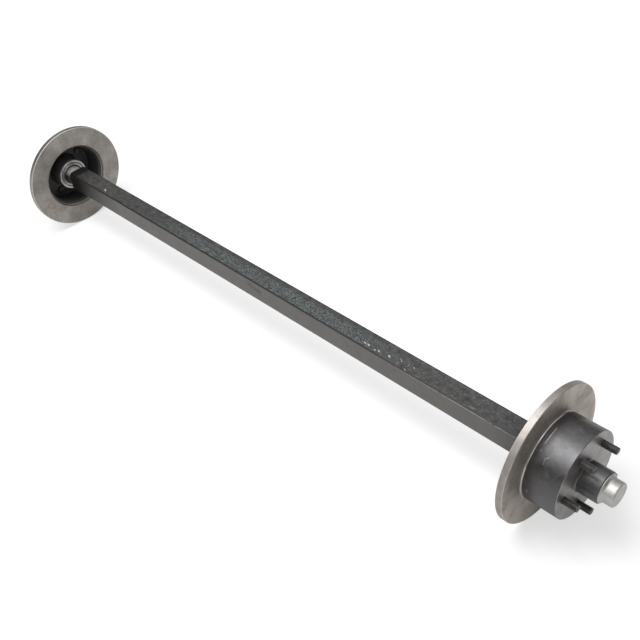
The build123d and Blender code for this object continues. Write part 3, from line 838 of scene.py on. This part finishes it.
def pick(*pieces):
    # selects these objects alone, the last one active
    deselect()
    for piece in pieces:
        piece.select_set(True)
    bpy.context.view_layer.objects.active = pieces[-1]


def startEdit(selected="SELECT"):
    bpy.ops.object.mode_set(mode="EDIT")
    bpy.ops.mesh.select_mode(type="VERT")
    bpy.ops.mesh.select_all(action=selected)


def endEdit():
    bpy.ops.object.mode_set(mode="OBJECT")


def chooseVertices(piece, wanted):
    # selects the vertices whose place the given rule accepts, and stays in edit mode
    startEdit("DESELECT")
    endEdit()
    for vertex in piece.data.vertices:
        vertex.select = wanted(vertex.co)
    bpy.ops.object.mode_set(mode="EDIT")


def applyModifier(piece, kind, **settings):
    modifier = piece.modifiers.new(kind.lower(), kind)
    for name, value in settings.items():
        setattr(modifier, name, value)
    bpy.context.view_layer.objects.active = piece
    bpy.ops.object.modifier_apply(modifier=modifier.name)


def applyPlace(piece):
    pick(piece)
    bpy.ops.object.transform_apply(location=True, rotation=True, scale=True)


def placeCopy(pattern, side, piece, replaced, turn, place=(0, 0, 0)):
    # a copy with a mesh of its own, turned to its end of the axle, that rides on the hub
    copy = pattern.copy()
    copy.data = pattern.data.copy()
    copy.name = f"{side}_{piece}"
    bpy.context.scene.collection.objects.link(copy)
    copy.rotation_mode = "ZYX"
    copy.rotation_euler = turn
    copy.location = place
    applyPlace(copy)
    slotName = slotOf[f"{side}_{replaced}"]
    copy.data.materials.clear()
    copy.data.materials.append(materials[slotName])
    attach(copy, f"{side}_hub")
    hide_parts(f"{side}_{replaced}")


# Wheel studs: head, knurled shank and a real thread

studSize = {
    "radius": 0.00635,
    "sides": 56,
    "pitch": 0.00127,       # 20 threads to the inch
    "threadDepth": 0.00075,
    "threadSteps": 28,
    "tipChamfer": 0.0011,
    "tipSegments": 2,
    "shankRadius": 0.00675,
    "shankSink": 0.0005,    # how far the shank runs into the head
    "knurls": 36,
    "knurlDepth": 0.0004,
    "headRadius": 0.0095,
    "headSides": 48,
    "headHeight": 0.005,
    "headBevel": 0.0008,
    "headSegments": 3,
    "seatPlace": 0.7505,
    "facePlace": 0.762,
    "tipPlace": 0.7875,
    "merge": 0.00001,
    "smoothAngle": 32,      # in degrees
    "count": 5,
    "turnBetween": 1.3,     # each stud's thread starts elsewhere
}


def makeThread(size):
    # one turn's profile, drawn by extruding a point, then screwed up the stud, which stands upright here
    start = size["facePlace"] - 2 * size["pitch"]
    turns = int((size["tipPlace"] - start) / size["pitch"]) + 2
    deselect()
    bpy.ops.mesh.primitive_plane_add(size=size["pitch"], location=(0, 0, start))
    thread = bpy.context.active_object
    startEdit()
    bpy.ops.mesh.merge(type="CENTER")
    bpy.ops.transform.translate(value=(size["radius"] - size["threadDepth"], 0, 0))
    depth, flat, flank = size["threadDepth"], size["pitch"] / 8, size["pitch"] * 3 / 8
    for move in ((0, 0, flat), (depth, 0, flank), (0, 0, flat), (-depth, 0, flank)):
        bpy.ops.mesh.extrude_region_move(TRANSFORM_OT_translate={"value": move})
    endEdit()
    applyModifier(thread, "SCREW", axis="Z", screw_offset=size["pitch"], iterations=turns,
                  steps=size["threadSteps"], render_steps=size["threadSteps"], use_merge_vertices=True,
                  merge_threshold=size["merge"])
    startEdit()
    bpy.ops.mesh.remove_doubles(threshold=size["merge"])
    bpy.ops.mesh.select_all(action="DESELECT")
    bpy.ops.mesh.select_non_manifold()
    bpy.ops.mesh.edge_face_add()
    bpy.ops.mesh.select_all(action="SELECT")
    bpy.ops.mesh.normals_make_consistent(inside=False)
    endEdit()
    return thread


def makeRound(radius, low, high, vertices):
    # an upright round bar between two heights
    deselect()
    bpy.ops.mesh.primitive_cylinder_add(vertices=vertices, radius=radius, depth=high - low,
                                        location=(0, 0, (low + high) / 2))
    piece = bpy.context.active_object
    applyPlace(piece)
    return piece


def bevelRim(piece, height, offset, segments):
    # rounds the round bar's edge at one height
    chooseVertices(piece, lambda place: abs(place.z - height) < studSize["merge"])
    bpy.ops.mesh.bevel(offset=offset, segments=segments, affect="EDGES")
    endEdit()


def makeStud(size):
    thread = makeThread(size)
    blank = makeRound(size["radius"], size["facePlace"] - size["pitch"], size["tipPlace"], size["sides"])
    bevelRim(blank, size["tipPlace"], size["tipChamfer"], size["tipSegments"])
    applyModifier(thread, "BOOLEAN", operation="INTERSECT", object=blank, solver="EXACT")
    bpy.data.objects.remove(blank)

    seat = size["seatPlace"]
    shank = makeRound(size["shankRadius"], seat - size["shankSink"], size["facePlace"], size["knurls"] * 2)
    step = math.pi / size["knurls"]
    chooseVertices(shank, lambda place: round(math.atan2(place.y, place.x) / step) % 2 == 1)
    inward = 1 - size["knurlDepth"] / size["shankRadius"]
    bpy.ops.transform.resize(value=(inward, inward, 1))
    endEdit()

    head = makeRound(size["headRadius"], seat - size["headHeight"], seat, size["headSides"])
    bevelRim(head, seat - size["headHeight"], size["headBevel"], size["headSegments"])
    pick(shank, head, thread)
    bpy.ops.object.join()
    bpy.ops.object.shade_smooth_by_angle(angle=math.radians(size["smoothAngle"]))
    applyPlace(thread)
    return thread


outwards = {"right": 1, "left": -1}
studPattern = makeStud(studSize)
for side, outward in outwards.items():
    for number in range(1, studSize["count"] + 1):
        low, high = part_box(f"{side}_wheel_stud_{number}")
        middle = (0, (low[1] + high[1]) / 2, (low[2] + high[2]) / 2)
        turn = (0, outward * math.pi / 2, number * studSize["turnBetween"])
        placeCopy(studPattern, side, f"threaded_stud_{number}", f"wheel_stud_{number}", turn, middle)
bpy.data.objects.remove(studPattern)
print("studs threaded:", len(outwards) * studSize["count"])


# Pressed pieces, spun from a profile: the dust caps and the grease seals' cases

capProfile = {
    "piece": "pressed_cap",
    "replaced": "dust_cap",
    "steps": 112,
    "closed": False,
    "corners": [   # place along the axle, radius, and how far from the corner its rounding starts
        (0.8193, 0.0, 0.0),
        (0.8193, 0.0203, 0.0022),
        (0.8024, 0.0203, 0.0012),
        (0.7974, 0.0214, 0.0012),
        (0.7895, 0.0214, 0.0002),
        (0.7895, 0.0226, 0.0003),
        (0.7985, 0.0226, 0.0),
        (0.7985, 0.0260, 0.0004),
        (0.7999, 0.0260, 0.0007),
        (0.8008, 0.0245, 0.0008),
        (0.8034, 0.0215, 0.0016),
        (0.8205, 0.0215, 0.0034),
        (0.8205, 0.0, 0.0),
    ],
}
sealProfile = {
    "piece": "rolled_seal_case",
    "replaced": "seal_case",
    "steps": 128,
    "closed": True,
    "corners": [
        (0.7042, 0.0256, 0.0),
        (0.7039, 0.0256, 0.0001),
        (0.7036, 0.0294, 0.0006),
        (0.7049, 0.0300, 0.0004),
        (0.7049, 0.0310, 0.0006),
        (0.7030, 0.0328, 0.0020),
        (0.7030, 0.0374, 0.0023),
        (0.7055, 0.0374, 0.0002),
        (0.7055, 0.0310, 0.0),
        (0.7135, 0.0310, 0.0003),
        (0.7135, 0.0298, 0.0),
        (0.7042, 0.0298, 0.0),
    ],
}
pressing = {"cornerSteps": 5, "startSize": 0.001, "merge": 0.000001, "smoothAngle": 30}


def roundCorners(corners):
    # the profile's points, each rounded corner drawn as a short curve
    places = [Vector((along, 0, radius)) for along, radius, rounding in corners]
    points = []
    for index, here in enumerate(places):
        rounding = corners[index][2]
        if rounding == 0.0:
            points.append(here)
            continue
        start = here + (places[index - 1] - here).normalized() * rounding
        end = here + (places[(index + 1) % len(places)] - here).normalized() * rounding
        for step in range(pressing["cornerSteps"] + 1):
            share = step / pressing["cornerSteps"]
            points.append(start.lerp(here, share).lerp(here.lerp(end, share), share))
    return points


def makeSpun(profile):
    # a point is extruded along the profile, which is then spun about the axle
    points = roundCorners(profile["corners"])
    if profile["closed"]:
        points.append(points[0])
    deselect()
    bpy.ops.mesh.primitive_plane_add(size=pressing["startSize"], location=points[0])
    piece = bpy.context.active_object
    applyPlace(piece)
    startEdit()
    bpy.ops.mesh.merge(type="CENTER")
    for before, after in zip(points, points[1:]):
        bpy.ops.mesh.extrude_region_move(TRANSFORM_OT_translate={"value": after - before})
    bpy.ops.mesh.select_all(action="SELECT")
    bpy.ops.mesh.remove_doubles(threshold=pressing["merge"])
    endEdit()
    applyModifier(piece, "SCREW", axis="X", screw_offset=0, steps=profile["steps"],
                  render_steps=profile["steps"], use_merge_vertices=True,
                  merge_threshold=pressing["merge"])
    startEdit()
    bpy.ops.mesh.remove_doubles(threshold=pressing["merge"])
    bpy.ops.mesh.normals_make_consistent(inside=False)
    endEdit()
    bpy.ops.object.shade_smooth_by_angle(angle=math.radians(pressing["smoothAngle"]))
    return piece


for profile in (capProfile, sealProfile):
    pattern = makeSpun(profile)
    for side, outward in outwards.items():
        turn = (0, 0, math.pi * (1 - outward) / 2)
        placeCopy(pattern, side, profile["piece"], profile["replaced"], turn)
    bpy.data.objects.remove(pattern)
print("caps and seal cases spun")


# Stage, lights and camera

stageValues = {
    "floorHeight": -0.127,
    "floorSize": 16.0,
    "floorColor": (0.60, 0.60, 0.60, 1),
    "glowColor": (1.0, 1.0, 1.0, 1),
    "liftReach": (0.9, 2.6),     # where the floor's own light starts to grow, and where it is full
    "lift": (0.60, 0.92),
    "shadeReach": 0.30,
    "shadeSamples": 8,
    "skyColor": (1.0, 1.0, 1.0, 1),
    "skyLight": 0.34,
    "skySeen": 1.0,
    "cardColor": (0.02, 0.02, 0.02, 1),
    "cardSides": 64,
    "cardDistance": 4.2,
    "cardHeight": 2.3,
    "endCardPlace": (-4.0, -1.0, 2.8),
    "endCardSize": 2.8,
}
lampValues = {
    "topSoftbox": {"place": (-0.15, -0.8, 2.9), "aim": (0.35, 0, 0), "size": 1.9, "power": 68.0},
    "frontFill": {"place": (1.6, -3.0, 1.4), "aim": (0.3, 0, 0), "size": 1.6, "power": 12.0},
}
cameraValues = {
    "place": (1.186086, -0.879797, 1.131865),
    "turn": (50.76592, 6.43907, 47.28106),    # in degrees
    "lens": 50.69,    # in millimetres, as the sensor
    "sensor": 36.0,
    "shift": (0.0754, -0.0258),
    "farEnd": 60.0,
}


def watched(tree):
    # 1 for the rays that see the background: the camera's and the mirrored ones, and 1 for the latter alone
    seen = put(tree, "ShaderNodeLightPath").outputs
    mirrored = strongest(tree, seen["Is Glossy Ray"], seen["Is Transmission Ray"])
    return strongest(tree, seen["Is Camera Ray"], mirrored), mirrored


def newStageMaterial(name):
    material = bpy.data.materials.new(name)
    material.use_nodes = True
    material.node_tree.nodes.clear()
    return material, material.node_tree


def makeFloor():
    deselect()
    height = stageValues["floorHeight"]
    bpy.ops.mesh.primitive_plane_add(size=stageValues["floorSize"], location=(0, 0, height))
    floor = bpy.context.active_object
    floor.name = "floor"
    material, tree = newStageMaterial("paleFloor")
    matt = put(tree, "ShaderNodeBsdfDiffuse", {"Color": stageValues["floorColor"]})
    distance = vectorCalc(tree, "LENGTH", objectPoint(tree), output="Value")
    lift = spread(tree, distance, *stageValues["liftReach"], *stageValues["lift"])
    # painted shade: the floor's own light is cut by occlusion close under the axle, so it is darker in what
    # the metal mirrors
    seen, mirrored = watched(tree)
    clear = put(tree, "ShaderNodeAmbientOcclusion", {"Distance": stageValues["shadeReach"]},
                samples=stageValues["shadeSamples"]).outputs["AO"]
    lift = times(tree, lift, seen, mixValue(tree, mirrored, 1.0, clear))
    glow = put(tree, "ShaderNodeEmission", {"Color": stageValues["glowColor"], "Strength": lift})
    both = put(tree, "ShaderNodeAddShader", {0: matt.outputs[0], 1: glow.outputs[0]})
    put(tree, "ShaderNodeOutputMaterial", {"Surface": both.outputs[0]})
    floor.data.materials.append(material)


def makeRoom():
    world = bpy.data.worlds.new("paleRoom")
    bpy.context.scene.world = world
    world.use_nodes = True
    tree = world.node_tree
    tree.nodes.clear()
    strength = mixValue(tree, watched(tree)[0], stageValues["skyLight"], stageValues["skySeen"])
    sky = put(tree, "ShaderNodeBackground", {"Color": stageValues["skyColor"], "Strength": strength})
    put(tree, "ShaderNodeOutputWorld", {"Surface": sky.outputs[0]})


def makeCards():
    # dark cards far off, a ring and one past the far end, which metal mirrors and the camera doesn't see
    deselect()
    height = stageValues["cardHeight"]
    bpy.ops.mesh.primitive_cylinder_add(
        vertices=stageValues["cardSides"], radius=stageValues["cardDistance"], depth=height,
        end_fill_type="NOTHING", location=(0, 0, height / 2))
    cards = bpy.context.active_object
    bpy.ops.mesh.primitive_plane_add(size=stageValues["endCardSize"], location=stageValues["endCardPlace"],
                                     rotation=(0, math.pi / 2, 0))
    pick(bpy.context.active_object, cards)
    bpy.ops.object.join()
    cards.name = "darkCards"
    material, tree = newStageMaterial("darkCard")
    matt = put(tree, "ShaderNodeBsdfDiffuse", {"Color": stageValues["cardColor"]})
    put(tree, "ShaderNodeOutputMaterial", {"Surface": matt.outputs[0]})
    cards.data.materials.append(material)
    cards.visible_camera = False


def addLamp(name, values):
    data = bpy.data.lights.new(name, "AREA")
    data.size = values["size"]
    data.energy = values["power"]
    lamp = bpy.data.objects.new(name, data)
    bpy.context.scene.collection.objects.link(lamp)
    lamp.location = values["place"]
    lamp.rotation_euler = (Vector(values["aim"]) - lamp.location).to_track_quat("-Z", "Y").to_euler()


def makeCamera():
    data = bpy.data.cameras.new("photoCamera")
    data.lens = cameraValues["lens"]
    data.sensor_width = cameraValues["sensor"]
    data.shift_x, data.shift_y = cameraValues["shift"]
    data.clip_end = cameraValues["farEnd"]
    camera = bpy.data.objects.new("photoCamera", data)
    bpy.context.scene.collection.objects.link(camera)
    camera.location = cameraValues["place"]
    camera.rotation_euler = [math.radians(turn) for turn in cameraValues["turn"]]
    bpy.context.scene.camera = camera


makeFloor()
makeRoom()
makeCards()
for lampName, values in lampValues.items():
    addLamp(lampName, values)
makeCamera()
bpy.context.scene.view_settings.view_transform = "Standard"
print("stage, lights and camera ready")
